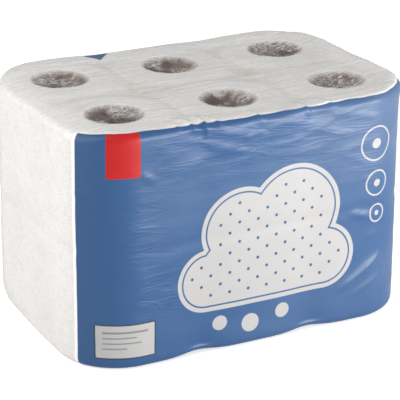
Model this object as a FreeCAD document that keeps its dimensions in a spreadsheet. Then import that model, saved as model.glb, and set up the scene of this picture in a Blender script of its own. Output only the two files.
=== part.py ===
import FreeCAD, Part
import os
from math import radians, sqrt

import Sketcher

# Twelve-roll pack of toilet paper: two layers of three by two rolls, standing on
# their ends in one clear and printed film wrap.
# X runs along the three rolls, Y from the printed front (-Y) to the back, Z up.
# The origin is the middle of the base, on the surface that the pack stands on.

os.makedirs("parts", exist_ok=True)
doc = FreeCAD.newDocument("toilet_roll_pack")

COLUMNS = ("left", "middle", "right")
ROWS = ("front", "back")
LAYERS = ("lower", "upper")

# Rolls and cores are prisms of many sides, so that the many pieces stay light.
# The count divides by four, so that a flat of each roll meets each neighbour's.
ROUND_SIDES = 40
HALF_SIDE = 180 / ROUND_SIDES
# How much a bevel at 45 degrees grows on a form that is offset outwards by one.
BEVEL_GROWTH = 2 - sqrt(2)
# Creases of the film where it is drawn into a core.
DIMPLE_CREASES = 16

SIZES = (
    ("roll_width", 102.6, "one roll from flat to flat, which is also the rolls' spacing"),
    ("roll_height", 100.0, "width of the paper sheet"),
    ("roll_bevel", 5.0, "bevel that the film presses on the outward end of a roll"),
    ("top_sag", 2.9, "how far the top has sunk over the middle of the pack"),
    ("sag_along", 1.15, "how much further it has sunk, one roll to the right"),
    ("sag_across", 1.26, "how much further it has sunk, one roll to the back"),
    ("core_width", 50.0, "cardboard core from flat to flat, and the bore of the paper on it"),
    ("core_wall", 0.8, "thickness of the cardboard"),
    ("film_thickness", 0.3, "the wrap, drawn thick enough to be a solid"),
    ("film_gap", 0.3, "clearance from the rolls to the film at the sides and the top"),
    ("tuck_depth", 1.6, "how far the film draws in between two rolls"),
    ("tuck_width", 64.0, "width of that hollow"),
    ("dimple_rim", 1.7, "from the inside of a core to the film's hollow over it"),
    ("dimple_run", 11.5, "from the rim of that hollow in to its floor"),
    ("dimple_depth", 6.0, "depth of that hollow"),
)

sheet = doc.addObject("Spreadsheet::Sheet", "sizes")
for line, (alias, value, meaning) in enumerate(SIZES, start=1):
    sheet.set(f"A{line}", alias)
    sheet.set(f"B{line}", str(value))
    sheet.set(f"C{line}", meaning)
    sheet.setAlias(f"B{line}", alias)
doc.recompute()

# From a roll's middle to its corners, and on to the outside of the film.
ROLL_CORNERS = f"sizes.roll_width / 2 / cos({HALF_SIDE})"
FILM_OUTSIDE = f"({ROLL_CORNERS} + sizes.film_gap + sizes.film_thickness)"
HALF_LENGTH = f"({(len(COLUMNS) - 1) / 2} * sizes.roll_width + {FILM_OUTSIDE})"
HALF_DEPTH = f"({(len(ROWS) - 1) / 2} * sizes.roll_width + {FILM_OUTSIDE})"
STACK_HEIGHT = f"{len(LAYERS)} * sizes.roll_height"
CORE_INSIDE = "(sizes.core_width - 2 * sizes.core_wall)"


def value_of(expression):
    """The number that an expression on the sheet gives now."""
    return float(sheet.evalExpression(expression.replace("sizes.", "")))


def base_plane(body, role):
    """The body's own origin plane of that role."""
    return next(plane for plane in body.Origin.OriginFeatures if plane.Role == role)


def bind(thing, **expressions):
    """Ties properties of an object to the sheet."""
    for name, expression in expressions.items():
        thing.setExpression(name, expression)


def place(thing, x="0", y="0", z="0"):
    """Ties an object's place to the sheet."""
    for axis, expression in (("x", x), ("y", y), ("z", z)):
        thing.setExpression(f"Placement.Base.{axis}", expression)


def rounded_rectangle(body, name, half_length, half_depth, corner):
    """A sketch on the body's XY plane: four sides with tangent rounds, centred on the origin."""
    sketch = body.newObject("Sketcher::SketchObject", name)
    sketch.AttachmentSupport = (base_plane(body, "XY_Plane"), [""])
    sketch.MapMode = "FlatFace"
    x, y, r = (value_of(text) for text in (half_length, half_depth, corner))
    point = FreeCAD.Vector
    up = point(0, 0, 1)
    sides = (
        (point(r - x, -y), point(x - r, -y)),
        (point(x, r - y), point(x, y - r)),
        (point(x - r, y), point(r - x, y)),
        (point(-x, y - r), point(-x, r - y)),
    )
    centres = ((x - r, r - y), (x - r, y - r), (r - x, y - r), (r - x, r - y))
    for start, end in sides:
        sketch.addGeometry(Part.LineSegment(start, end), False)
    for quarter, (cx, cy) in enumerate(centres):
        start = radians(90 * (quarter - 1))
        circle = Part.Circle(point(cx, cy), up, r)
        sketch.addGeometry(Part.ArcOfCircle(circle, start, start + radians(90)), False)
    for side in range(4):
        arc = 4 + side
        sketch.addConstraint(Sketcher.Constraint("Tangent", side, 2, arc, 1))
        sketch.addConstraint(Sketcher.Constraint("Tangent", arc, 2, (side + 1) % 4, 1))
        direction = "Horizontal" if side % 2 == 0 else "Vertical"
        sketch.addConstraint(Sketcher.Constraint(direction, side))
        if side:
            sketch.addConstraint(Sketcher.Constraint("Equal", 4, arc))
    sketch.addConstraint(Sketcher.Constraint("Symmetric", 4, 3, 6, 3, -1, 1))
    named = (
        ("half_length", ("DistanceX", -1, 1, 1, 1, x), half_length),
        ("half_depth", ("DistanceY", -1, 1, 2, 1, y), half_depth),
        ("corner", ("Radius", 4, r), corner),
    )
    for label, terms, expression in named:
        index = sketch.addConstraint(Sketcher.Constraint(*terms))
        sketch.renameConstraint(index, label)
        sketch.setExpression(f"Constraints.{label}", expression)
    return sketch


def sag_at(x, y):
    """How far the top has sunk over a place, as an expression on the sheet."""
    return f"(sizes.top_sag + (sizes.sag_along * ({x}) + sizes.sag_across * ({y})) / sizes.roll_width)"


def end_face(feature, side):
    """Name of the face at the top (1) or the bottom (-1) of an upright form."""
    doc.recompute()
    faces = feature.Shape.Faces
    order = sorted(range(len(faces)), key=lambda number: side * faces[number].CenterOfMass.z)
    return f"Face{order[-1] + 1}"


def prism(body, kind, name, sides, width, height):
    """A column or bore of the body with many sides, given its size from flat to flat."""
    column = body.newObject(f"PartDesign::{kind}Prism", name)
    column.Polygon = sides
    half_side = 180 / sides
    bind(column, Circumradius=f"{width} / 2 / cos({half_side})", Height=height)
    column.Placement.Rotation = FreeCAD.Rotation(FreeCAD.Vector(0, 0, 1), half_side)
    return column


def sunken_top(body, name, height):
    """Cuts the body off at the slope of the pack's top, through that height on its own axis."""
    slab = body.newObject("PartDesign::SubtractivePrism", name)
    slab.Polygon = 4
    bind(slab, Circumradius="3 * sizes.roll_width", Height="sizes.roll_height / 2")
    place(slab, z=height)
    slope = "sqrt(sizes.sag_along ^ 2 + sizes.sag_across ^ 2)"
    slab.setExpression("Placement.Rotation.Axis.x", f"-sizes.sag_across / {slope}")
    slab.setExpression("Placement.Rotation.Axis.y", f"sizes.sag_along / {slope}")
    slab.setExpression("Placement.Rotation.Axis.z", "0")
    slab.setExpression("Placement.Rotation.Angle", f"atan({slope} / sizes.roll_width)")
    return slab


def tissue_roll(name, layer, x, y, z):
    """One roll of paper, bevelled at its outward end."""
    body = doc.addObject("PartDesign::Body", name)
    height = "sizes.roll_height"
    paper = prism(body, "Additive", f"{name}_paper", ROUND_SIDES, "sizes.roll_width", height)
    if layer:
        paper = sunken_top(body, f"{name}_top", f"{height} - {sag_at(x, y)}")
    bevel = body.newObject("PartDesign::Chamfer", f"{name}_bevel")
    bevel.Base = (paper, [end_face(paper, 1 if layer else -1)])
    bind(bevel, Size="sizes.roll_bevel")
    prism(body, "Subtractive", f"{name}_bore", ROUND_SIDES, "sizes.core_width", height)
    place(body, x, y, z)
    return body


def core_tube(name, layer, x, y, z):
    """The cardboard tube that a roll is wound on."""
    body = doc.addObject("PartDesign::Body", name)
    height = "sizes.roll_height"
    prism(body, "Additive", f"{name}_outside", ROUND_SIDES, "sizes.core_width", height)
    prism(body, "Subtractive", f"{name}_inside", ROUND_SIDES, CORE_INSIDE, height)
    if layer:
        sunken_top(body, f"{name}_top", f"{height} - {sag_at(x, y)}")
    place(body, x, y, z)
    return body


def roll_places():
    """Name, layer and place of each roll, the place as expressions on the sheet."""
    for layer, layer_name in enumerate(LAYERS):
        for row, row_name in enumerate(ROWS):
            for column, column_name in enumerate(COLUMNS):
                x = f"{column - (len(COLUMNS) - 1) / 2} * sizes.roll_width"
                y = f"{row - (len(ROWS) - 1) / 2} * sizes.roll_width"
                z = f"sizes.film_thickness + {layer} * sizes.roll_height"
                yield f"{layer_name}_{row_name}_{column_name}", layer, x, y, z


def tuck_cutters(name, inset):
    """Upright cylinders that draw a wall in between each two rolls."""
    radius = "(sizes.tuck_width ^ 2 / 4 + sizes.tuck_depth ^ 2) / (2 * sizes.tuck_depth)"
    stand_off = f"({radius} - sizes.tuck_depth)"
    places = []
    for joint in range(1, len(COLUMNS)):
        x = f"{joint - len(COLUMNS) / 2} * sizes.roll_width"
        places.append((x, f"-({HALF_DEPTH} + {stand_off})"))
        places.append((x, f"{HALF_DEPTH} + {stand_off}"))
    for joint in range(1, len(ROWS)):
        y = f"{joint - len(ROWS) / 2} * sizes.roll_width"
        places.append((f"-({HALF_LENGTH} + {stand_off})", y))
        places.append((f"{HALF_LENGTH} + {stand_off}", y))
    cutters = []
    for number, (x, y) in enumerate(places, start=1):
        cutter = doc.addObject("Part::Cylinder", f"{name}_tuck_{number}")
        bind(cutter, Radius=f"{radius} + {inset}", Height=f"3 * {STACK_HEIGHT}")
        place(cutter, x, y, f"-{STACK_HEIGHT}")
        cutters.append(cutter)
    return cutters


def dimple_cutters(name, inset, top):
    """Creased hollows over the upper cores and under the lower ones, each wider at its mouth."""
    cutters = []
    for place_name, layer, x, y, _ in roll_places():
        body = doc.addObject("PartDesign::Body", f"{name}_dimple_{place_name}")
        mouth = f"({CORE_INSIDE} - 2 * sizes.dimple_rim + 2 * {inset})"
        height = "2 * sizes.dimple_depth"
        column = prism(body, "Additive", f"{body.Name}_mouth", DIMPLE_CREASES, mouth, height)
        slope = body.newObject("PartDesign::Chamfer", f"{body.Name}_slope")
        slope.Base = (column, [end_face(column, -1)])
        slope.ChamferType = "Two distances"
        bind(slope, Size="sizes.dimple_depth", Size2="sizes.dimple_run")
        if layer:
            place(body, x, y, f"{top} - {sag_at(x, y)} - sizes.dimple_depth")
        else:
            body.Placement.Rotation = FreeCAD.Rotation(FreeCAD.Vector(1, 0, 0), 180)
            place(body, x, y, f"{inset} + sizes.dimple_depth")
        cutters.append(body)
    return cutters


def envelope(name, inset):
    """The wrap's outer form, drawn in by the inset: a rounded block, sunken, tucked and dimpled."""
    body = doc.addObject("PartDesign::Body", f"{name}_block")
    outline = rounded_rectangle(
        body,
        f"{name}_outline",
        f"{HALF_LENGTH} - {inset}",
        f"{HALF_DEPTH} - {inset}",
        f"{FILM_OUTSIDE} - {inset}",
    )
    height = f"{STACK_HEIGHT} + sizes.film_gap + 2 * (sizes.film_thickness - {inset})"
    block = body.newObject("PartDesign::Pad", f"{name}_pad")
    block.Profile = outline
    bind(block, Length=height)
    sunken = sunken_top(body, f"{name}_top", f"{height} - sizes.top_sag")
    bevel = body.newObject("PartDesign::Chamfer", f"{name}_bevel")
    bevel.Base = (sunken, [end_face(sunken, 1), end_face(sunken, -1)])
    bind(bevel, Size=f"sizes.roll_bevel + {BEVEL_GROWTH} * (sizes.film_thickness - {inset})")
    place(body, z=inset)
    cutters = doc.addObject("Part::MultiFuse", f"{name}_hollows")
    cutters.Shapes = tuck_cutters(name, inset) + dimple_cutters(name, inset, f"{inset} + {height}")
    shaped = doc.addObject("Part::Cut", name)
    shaped.Base = body
    shaped.Tool = cutters
    doc.recompute()
    return shaped


subparts = []
for place_name, layer, x, y, z in roll_places():
    subparts.append(tissue_roll(f"tissue_roll_{place_name}", layer, x, y, z))
    subparts.append(core_tube(f"core_tube_{place_name}", layer, x, y, z))

film = doc.addObject("Part::Cut", "wrap_film")
film.Base = envelope("film_outside", "0")
film.Tool = envelope("film_inside", "sizes.film_thickness")
subparts.append(film)
doc.recompute()

for thing in doc.Objects:
    faults = {"Invalid", "Error"} & set(thing.State)
    if faults:
        raise RuntimeError(f"{thing.Name} is {', '.join(sorted(faults))}")
for thing in subparts:
    thing.Label = thing.Name
    shape = thing.Shape
    if shape.isNull() or not shape.isValid():
        raise RuntimeError(f"{thing.Name} has no valid shape")
for thing in subparts:
    thing.Shape.exportStep(f"parts/{thing.Label}.step")
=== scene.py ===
"""Looks of a film-wrapped pack of paper rolls, built around its measured frame."""

import math

import bpy
import numpy as np
from bpy.props import FloatProperty, FloatVectorProperty, PointerProperty
from mathutils import Matrix, Vector, noise


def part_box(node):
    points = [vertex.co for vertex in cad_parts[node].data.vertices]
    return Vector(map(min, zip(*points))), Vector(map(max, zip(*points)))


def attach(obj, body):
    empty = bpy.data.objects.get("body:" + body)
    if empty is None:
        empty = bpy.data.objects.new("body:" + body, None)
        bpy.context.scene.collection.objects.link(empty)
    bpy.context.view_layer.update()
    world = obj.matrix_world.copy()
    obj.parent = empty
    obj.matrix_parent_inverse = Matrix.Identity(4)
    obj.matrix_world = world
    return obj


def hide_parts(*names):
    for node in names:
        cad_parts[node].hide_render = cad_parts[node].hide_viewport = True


bl_info = {
    "name": "Roll Pack",
    "version": (1, 0, 0),
    "blender": (4, 5, 0),
    "location": "View3D > Sidebar > Roll Pack",
    "description": "Dresses a film-wrapped pack of paper rolls around its measured frame",
    "category": "Object",
}

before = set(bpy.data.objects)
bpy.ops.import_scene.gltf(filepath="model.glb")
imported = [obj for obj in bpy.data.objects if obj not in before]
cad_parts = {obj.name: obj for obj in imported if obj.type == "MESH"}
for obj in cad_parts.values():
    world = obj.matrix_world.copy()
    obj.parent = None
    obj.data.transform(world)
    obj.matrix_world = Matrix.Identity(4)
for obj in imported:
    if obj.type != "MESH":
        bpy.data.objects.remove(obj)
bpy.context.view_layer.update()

MM = 0.001
UP = np.array((0.0, 0.0, 1.0))
ROLL_NODES = sorted(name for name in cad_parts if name.startswith("tissue_roll_"))
CORE_NODES = sorted(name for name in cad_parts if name.startswith("core_tube_"))
FILM_NODE = "wrap_film"

# The film's outer form, and the rolls and cores inside it, all from the frame.
HALF_LENGTH, HALF_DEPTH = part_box(FILM_NODE)[1][:2]
ROLL_LOW, ROLL_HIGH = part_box(ROLL_NODES[0])
ROLL_WIDTH = ROLL_HIGH[0] - ROLL_LOW[0]
ROLL_HEIGHT = ROLL_HIGH[2] - ROLL_LOW[2]
LAYER_JOINT = ROLL_HIGH[2]
HEIGHT = 2 * ROLL_HEIGHT + 3 * ROLL_LOW[2]
CORE_LOW, CORE_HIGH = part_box(CORE_NODES[0])
CORE_RADIUS = (CORE_HIGH[0] - CORE_LOW[0]) / 2
CORNER = HALF_DEPTH - ROLL_WIDTH / 2
STRAIGHT_LENGTH = HALF_LENGTH - CORNER
STRAIGHT_DEPTH = HALF_DEPTH - CORNER
PERIMETER = 4 * (STRAIGHT_LENGTH + STRAIGHT_DEPTH) + 2 * math.pi * CORNER
PANEL = PERIMETER / 2

# How far the top has sunk over each upper roll, in metres.
ROLL_SINK = {
    "front_left": 1.0 * MM,
    "back_left": 1.6 * MM,
    "front_middle": 3.2 * MM,
    "back_middle": 4.4 * MM,
    "front_right": 2.6 * MM,
    "back_right": 4.6 * MM,
}


def centre_of(node):
    """Middle of a node's box, seen from above."""
    low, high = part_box(node)
    return (low[0] + high[0]) / 2, (low[1] + high[1]) / 2


ROLL_CENTRES = np.array([centre_of(f"tissue_roll_upper_{place}") for place in ROLL_SINK])
ROLL_SINKS = np.array(list(ROLL_SINK.values()))


def smooth(value):
    """An eased step from 0 to 1."""
    value = np.clip(value, 0.0, 1.0)
    return value * value * (3 - 2 * value)


# How far over a roll's width its sink reaches, as a share of the width.
SINK_REACH = 0.40

# The worn foot of the pack's back left corner: how far it is drawn in and lifted, and up to what height.
WORN_CORNER = np.array((-150.0, 72.0)) * MM
WORN_REACH = 58.0 * MM
WORN_INWARD = 4.0 * MM
WORN_INWARD_HEIGHT = 11.0 * MM
WORN_LIFT = 1.8 * MM
WORN_LIFT_HEIGHT = 16.0 * MM

# How far the top rounds down towards the pack's left end.
SHOULDER_SINK = 3.0 * MM
SHOULDER_REACH = 17.0 * MM


def settled(points):
    """The points of the pack, its top sunk unevenly and the foot of one corner worn round."""
    apart = points[:, None, :2] - ROLL_CENTRES[None]
    weights = np.exp(-(apart**2).sum(axis=2) / (2 * (SINK_REACH * ROLL_WIDTH) ** 2))
    sink = (weights * ROLL_SINKS).sum(axis=1) / weights.sum(axis=1)
    sink += SHOULDER_SINK * np.exp(-(((points[:, 0] + HALF_LENGTH) / SHOULDER_REACH) ** 2))
    moved = points.copy()
    moved[:, 2] -= sink * np.clip((points[:, 2] - LAYER_JOINT) / ROLL_HEIGHT, 0.0, 1.0)
    corner_roll = ROLL_CENTRES[list(ROLL_SINK).index("back_left")]
    near = np.exp(-(((points[:, :2] - WORN_CORNER) ** 2).sum(axis=1)) / WORN_REACH**2)
    share = (points[:, :2] - corner_roll) / (ROLL_WIDTH / 2)
    worn = near * np.exp(-((points[:, 2] / WORN_INWARD_HEIGHT) ** 2))
    moved[:, :2] -= WORN_INWARD * share * worn[:, None]
    moved[:, 2] += WORN_LIFT * near * np.exp(-((points[:, 2] / WORN_LIFT_HEIGHT) ** 2))
    return moved


class PrintSettings(bpy.types.PropertyGroup):
    """Colours and places of the film's print."""

    blue: FloatVectorProperty(
        name="Panel Blue", description="Ground of the two long panels", subtype="COLOR",
        default=(0.016, 0.064, 0.168), min=0, max=1,
    )
    red: FloatVectorProperty(
        name="Tag Red", description="Plain tag that hangs from the panel's top edge", subtype="COLOR",
        default=(0.37, 0.0, 0.0), min=0, max=1,
    )
    white: FloatVectorProperty(
        name="Ink White", description="White ink of the motifs and the border", subtype="COLOR",
        default=(0.345, 0.338, 0.33), min=0, max=1,
    )
    # The white of the bare strips beside the panels, and also of a painted highlight along the right of the
    # ink's top edge.
    strip_and_highlight: FloatVectorProperty(
        name="Rim White", description="Bare white strip round the panels", subtype="COLOR",
        default=(0.74, 0.735, 0.725), min=0, max=1,
    )
    ink: FloatVectorProperty(
        name="Border Ink", description="Dark line round the bare label", subtype="COLOR",
        default=(0.02, 0.03, 0.05), min=0, max=1,
    )
    panel_half: FloatProperty(
        name="Panel Half Width", description="From a panel's middle to its side edge, round the corner",
        default=159.5 * MM, unit="LENGTH",
    )
    panel_top: FloatProperty(
        name="Panel Top", description="Height of the panel's upper edge, along the film",
        default=202.0 * MM, unit="LENGTH",
    )


class FilmSettings(bpy.types.PropertyGroup):
    """Form of the wrap."""

    edge_radius: FloatProperty(
        name="Edge Radius", description="Round of the film over the top and bottom edges",
        default=7.0 * MM, unit="LENGTH",
    )
    spacing: FloatProperty(
        name="Mesh Spacing", description="Distance between the film's mesh lines",
        default=1.85 * MM, unit="LENGTH",
    )
    tuck_depth: FloatProperty(
        name="Tuck Depth", description="How far a wall draws in between two rolls at mid height",
        default=1.2 * MM, unit="LENGTH",
    )
    end_tuck_depth: FloatProperty(
        name="End Tuck Depth", description="How much deeper the tuck gets at the top and bottom edges",
        default=2.7 * MM, unit="LENGTH",
    )
    dimple_depth: FloatProperty(
        name="Dimple Depth", description="How far the film sinks into a core",
        default=6.5 * MM, unit="LENGTH",
    )
    streak_height: FloatProperty(
        name="Streak Height", description="Height of the fine wrinkles along the top",
        default=0.24 * MM, unit="LENGTH",
    )


class PaperSettings(bpy.types.PropertyGroup):
    """Colours of the rolls and their cores."""

    tissue: FloatVectorProperty(
        name="Tissue", description="Colour of the paper", subtype="COLOR",
        default=(0.80, 0.78, 0.75), min=0, max=1,
    )
    card: FloatVectorProperty(
        name="Card", description="Colour of the cardboard cores", subtype="COLOR",
        default=(0.30, 0.195, 0.13), min=0, max=1,
    )
    card_wall: FloatProperty(
        name="Card Wall", description="Thickness of a core", default=0.8 * MM, unit="LENGTH",
    )


class StageSettings(bpy.types.PropertyGroup):
    """Camera, lamps and floor."""

    azimuth: FloatProperty(
        name="Azimuth", description="Camera's turn round the pack from its front",
        default=math.radians(-28.23), subtype="ANGLE",
    )
    elevation: FloatProperty(
        name="Elevation", description="Camera's angle above the horizon",
        default=math.radians(21.22), subtype="ANGLE",
    )
    roll: FloatProperty(
        name="Roll", description="Camera's tilt about its own axis",
        default=math.radians(0.35), subtype="ANGLE",
    )
    distance: FloatProperty(
        name="Distance", description="From the camera to the point it looks at",
        default=1.8325, unit="LENGTH",
    )
    lens: FloatProperty(
        name="Lens", description="Focal length on a 36 mm sensor, in millimetres", default=194.5,
    )
    target_height: FloatProperty(
        name="Target Height", description="Height of the point that the camera looks at",
        default=90.3 * MM, unit="LENGTH",
    )


class Graph:
    """Short way to add and join the nodes of a material or a group."""

    def __init__(self, tree):
        self.tree = tree

    def node(self, kind, **settings):
        made = self.tree.nodes.new(kind)
        for name, value in settings.items():
            setattr(made, name, value)
        return made

    def feed(self, socket, value):
        """Links a socket to another node's output, or sets it to a plain value."""
        if isinstance(value, bpy.types.NodeSocket):
            self.tree.links.new(value, socket)
        elif value is not None:
            socket.default_value = value

    def math(self, operation, *values, clamp=False):
        made = self.node("ShaderNodeMath", operation=operation, use_clamp=clamp)
        for socket, value in zip(made.inputs, values):
            self.feed(socket, value)
        return made.outputs[0]

    def vector(self, operation, *values, output="Vector"):
        made = self.node("ShaderNodeVectorMath", operation=operation)
        for socket, value in zip(made.inputs, values):
            self.feed(socket, value)
        return made.outputs[output]

    def mix(self, factor, first, second):
        made = self.node("ShaderNodeMix", data_type="RGBA")
        for name, value in (("Factor_Float", factor), ("A_Color", first), ("B_Color", second)):
            socket = next(s for s in made.inputs if s.identifier == name)
            self.feed(socket, value)
        return next(s for s in made.outputs if s.identifier == "Result_Color")

    def blend(self, factor, first, second):
        """A plain number between two others."""
        made = self.node("ShaderNodeMix", data_type="FLOAT")
        for name, value in (("Factor_Float", factor), ("A_Float", first), ("B_Float", second)):
            socket = next(s for s in made.inputs if s.identifier == name)
            self.feed(socket, value)
        return next(s for s in made.outputs if s.identifier == "Result_Float")

    def ramp(self, value, low, high, start=0.0, end=1.0):
        made = self.node("ShaderNodeMapRange", clamp=True)
        for socket, given in zip(made.inputs, (value, low, high, start, end)):
            self.feed(socket, given)
        return made.outputs[0]

    def noise(self, vector, scale, detail=2.0, roughness=0.5, distortion=0.0, output="Fac"):
        made = self.node("ShaderNodeTexNoise")
        self.feed(made.inputs["Vector"], vector)
        made.inputs["Scale"].default_value = scale
        made.inputs["Detail"].default_value = detail
        made.inputs["Roughness"].default_value = roughness
        made.inputs["Distortion"].default_value = distortion
        return made.outputs[output]

    def stretched(self, vector, scale):
        """A vector scaled by its own amount along each axis."""
        return self.vector("MULTIPLY", vector, scale)

    def times(self, first, second):
        return self.math("MULTIPLY", first, second)

    def off_middle(self, value, gain):
        """How far a value is from 0.5, times the gain."""
        return self.math("ABSOLUTE", self.math("MULTIPLY_ADD", value, gain, -0.5 * gain))

    def axes(self, vector):
        """A vector's parts, by the names X, Y and Z."""
        parts = self.node("ShaderNodeSeparateXYZ")
        self.feed(parts.inputs[0], vector)
        return parts.outputs

    def joined(self, **parts):
        """A vector from the parts given by name."""
        made = self.node("ShaderNodeCombineXYZ")
        for axis, value in parts.items():
            self.feed(made.inputs[axis], value)
        return made.outputs[0]

    def attribute(self, name):
        return self.node("ShaderNodeAttribute", attribute_name=name).outputs["Fac"]

    def grid(self, vector):
        """Distance to the nearest point of a square grid with a step of one."""
        points = self.node("ShaderNodeTexVoronoi", feature="F1", voronoi_dimensions="2D")
        self.feed(points.inputs["Vector"], vector)
        points.inputs["Scale"].default_value = 1.0
        points.inputs["Randomness"].default_value = 0.0
        return points.outputs["Distance"]


def rgba(colour):
    return (*colour, 1.0)


def new_group(name, inputs, outputs):
    """A shader node group with named number or vector sockets, and its graph, inputs and output node."""
    tree = bpy.data.node_groups.new(name, "ShaderNodeTree")
    for title, kind, default in inputs:
        socket = tree.interface.new_socket(title, in_out="INPUT", socket_type=kind)
        if default is not None:
            socket.default_value = default
    for title, kind in outputs:
        tree.interface.new_socket(title, in_out="OUTPUT", socket_type=kind)
    graph = Graph(tree)
    return tree, graph, graph.node("NodeGroupInput").outputs, graph.node("NodeGroupOutput").inputs


def paper_fibre_group():
    """Soft clouding and fibres of tissue and card: a tint mask and a height."""
    name = "Paper Fibre"
    if name in bpy.data.node_groups:
        return bpy.data.node_groups[name]
    tree, graph, given, out = new_group(
        name,
        (("Vector", "NodeSocketVector", None), ("Fibre Scale", "NodeSocketFloat", 900.0)),
        (("Tint", "NodeSocketFloat"), ("Height", "NodeSocketFloat")),
    )
    cloud = graph.noise(given["Vector"], 45.0, detail=3.0)
    fibre = graph.node("ShaderNodeTexNoise")
    graph.feed(fibre.inputs["Vector"], given["Vector"])
    graph.feed(fibre.inputs["Scale"], given["Fibre Scale"])
    fibre.inputs["Detail"].default_value = 4.0
    fibre.inputs["Distortion"].default_value = 0.6
    graph.feed(out["Tint"], graph.blend(0.5, cloud, fibre.outputs["Fac"]))
    graph.feed(out["Height"], fibre.outputs["Fac"])
    return tree


def new_material(name):
    """An empty material with a Principled shader, and its graph."""
    material = bpy.data.materials.new(name)
    material.use_nodes = True
    material.node_tree.nodes.clear()
    graph = Graph(material.node_tree)
    shader = graph.node("ShaderNodeBsdfPrincipled")
    output = graph.node("ShaderNodeOutputMaterial")
    graph.feed(output.inputs["Surface"], shader.outputs[0])
    return material, graph, shader


def fibres(graph, vector, scale):
    """The paper fibre group placed in a material."""
    placed = graph.node("ShaderNodeGroup", node_tree=paper_fibre_group())
    graph.feed(placed.inputs["Vector"], vector)
    placed.inputs["Fibre Scale"].default_value = scale
    return placed.outputs


def add_bump(graph, shader, height, strength, distance):
    bump = graph.node("ShaderNodeBump")
    bump.inputs["Strength"].default_value = strength
    bump.inputs["Distance"].default_value = distance
    graph.feed(bump.inputs["Height"], height)
    graph.feed(shader.inputs["Normal"], bump.outputs["Normal"])


# The darkest tint of the paper and of the card, as a share of their colour.
TISSUE_SHADE = 0.62
CARD_SHADE = 0.55


def tissue_material(settings):
    """White paper: fine turns on the ends, embossed dots on the side, soft fibres."""
    material, graph, shader = new_material("tissue_paper")
    wound = graph.node("ShaderNodeUVMap", uv_map="wound").outputs["UV"]
    place = graph.node("ShaderNodeTexCoord").outputs["Object"]
    fibre = fibres(graph, place, 1100.0)
    turns = graph.noise(graph.stretched(wound, (6.0, 2200.0, 1.0)), 1.0, detail=3.0, roughness=0.65)
    on_side = graph.math("GREATER_THAN", graph.axes(wound)["Y"], 0.5)
    dots = graph.grid(graph.stretched(wound, (230.0, 230.0, 1.0)))
    emboss = graph.ramp(dots, 0.18, 0.36, 0.0, 0.5)
    relief = graph.blend(on_side, turns, emboss)
    height = graph.math("MULTIPLY_ADD", fibre["Height"], 0.35, relief)
    shade = graph.blend(on_side, graph.ramp(turns, 0.3, 0.7, 0.90, 1.0), 1.0)
    tinted = graph.times(shade, graph.ramp(fibre["Tint"], 0.3, 0.7, 0.97, 1.0))
    dark = rgba([TISSUE_SHADE * part for part in settings.tissue])
    colour = graph.mix(tinted, dark, rgba(settings.tissue))
    graph.feed(shader.inputs["Base Color"], colour)
    shader.inputs["Roughness"].default_value = 0.92
    shader.inputs["Specular IOR Level"].default_value = 0.2
    add_bump(graph, shader, height, 0.25, 0.3 * MM)
    return material


def card_material(settings):
    """Grey-brown cardboard wound from a strip, with its seam and fibres."""
    material, graph, shader = new_material("core_card")
    parts = graph.axes(graph.node("ShaderNodeUVMap", uv_map="wound").outputs["UV"])
    lean = graph.math("MULTIPLY_ADD", parts["X"], 0.62, parts["Y"])
    strip = graph.math("FRACT", graph.times(lean, 10.5))
    seam = graph.ramp(graph.off_middle(strip, 1.0), 0.0, 0.03)
    place = graph.node("ShaderNodeTexCoord").outputs["Object"]
    fibre = fibres(graph, place, 700.0)
    tint = graph.ramp(fibre["Tint"], 0.3, 0.7, 0.0, 1.0)
    dark = rgba([CARD_SHADE * part for part in settings.card])
    colour = graph.mix(graph.times(tint, graph.blend(seam, 0.4, 1.0)), dark, rgba(settings.card))
    graph.feed(shader.inputs["Base Color"], colour)
    shader.inputs["Roughness"].default_value = 0.85
    height = graph.math("MULTIPLY_ADD", fibre["Height"], 0.4, seam)
    add_bump(graph, shader, height, 0.5, 0.25 * MM)
    return material


class Panel:
    """Shapes of the print, as signed distances over the film's own coordinates in millimetres."""

    # Half the width of the soft edge of a shape.
    EDGE = 0.22

    def __init__(self, graph, place):
        self.graph = graph
        self.place = place

    def inside(self, distance):
        """1 where a signed distance is negative."""
        return self.graph.ramp(distance, self.EDGE, -self.EDGE)

    def circle(self, x, y, radius):
        apart = self.graph.vector("DISTANCE", self.place, (x, y, 0.0), output="Value")
        return self.graph.math("SUBTRACT", apart, radius)

    def box(self, x, y, half_width, half_height, rounding=0.0):
        graph = self.graph
        moved = graph.vector("ABSOLUTE", graph.vector("SUBTRACT", self.place, (x, y, 0.0)))
        spread = (half_width - rounding, half_height - rounding, 0.0)
        past = graph.vector("SUBTRACT", moved, spread)
        outer = graph.vector("MAXIMUM", past, (0.0, 0.0, 0.0))
        parts = graph.axes(past)
        within = graph.math("MINIMUM", graph.math("MAXIMUM", parts["X"], parts["Y"]), 0.0)
        apart = graph.vector("LENGTH", outer, output="Value")
        return graph.math("SUBTRACT", graph.math("ADD", apart, within), rounding)

    def join(self, *distances):
        joined = distances[0]
        for distance in distances[1:]:
            joined = self.graph.math("MINIMUM", joined, distance)
        return joined

    def line(self, distance, half_width, level=0.0):
        """The stroke along a shape's edge, or along a line that far outside it."""
        off = self.graph.math("ABSOLUTE", self.graph.math("SUBTRACT", distance, level))
        return self.graph.math("SUBTRACT", off, half_width)

    def both(self, first, second):
        return self.graph.math("MAXIMUM", first, second)


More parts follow.
